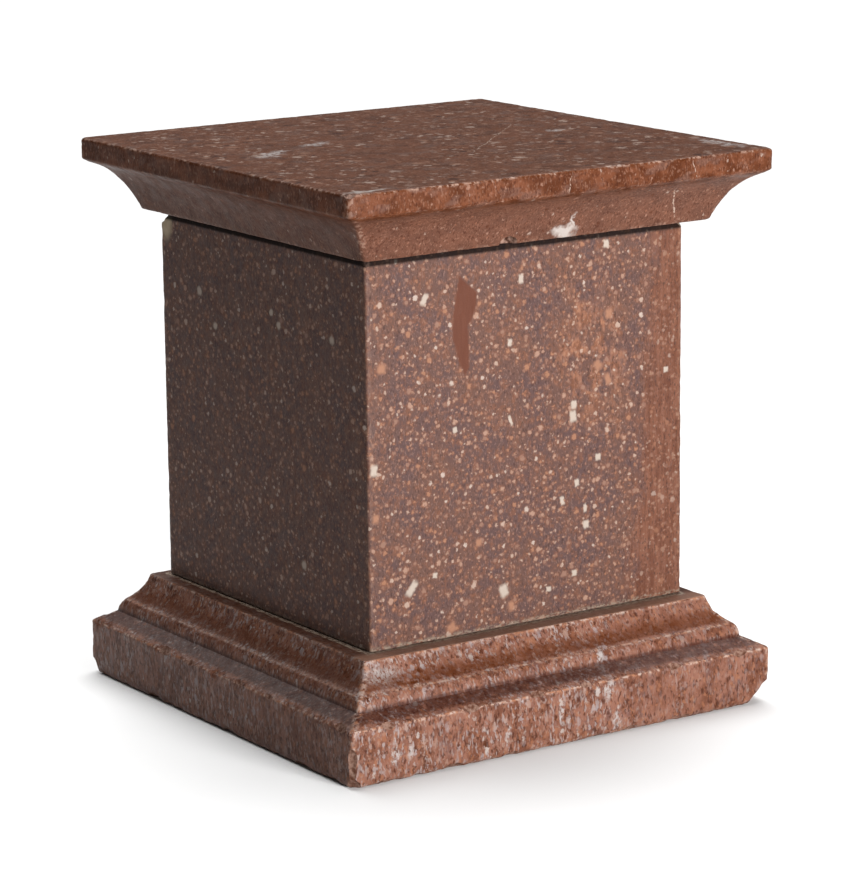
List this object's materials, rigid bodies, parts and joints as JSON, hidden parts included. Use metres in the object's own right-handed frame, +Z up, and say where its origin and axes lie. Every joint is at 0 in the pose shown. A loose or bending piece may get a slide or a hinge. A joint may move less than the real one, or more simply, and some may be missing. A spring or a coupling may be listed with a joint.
{
  "type": "plinth",
  "caption": "Small square porphyry plinth with a moulded base, a plain die and a cavetto cornice cap, worn at the edges, for carrying a bust, bronze or vase.",
  "frame": {"origin": "on the ground, under the middle of the base", "axes": "+Z up, -Y the front face and -X the left face of the square plan"},
  "size_m": [0.223, 0.223, 0.25],
  "materials": {
    "base_stone": "polished red-brown porphyry with pale veins, worn and chipped at the edges",
    "die_stone": "honed purple-brown porphyry with white, pink and orange feldspar crystals",
    "cap_stone": "polished dark red-brown porphyry with fine scratches"
  },
  "bodies": {
    "root": {"moulded_base": "base_stone", "die_block": "die_stone", "cornice_cap": "cap_stone"}
  },
  "joints": []
}
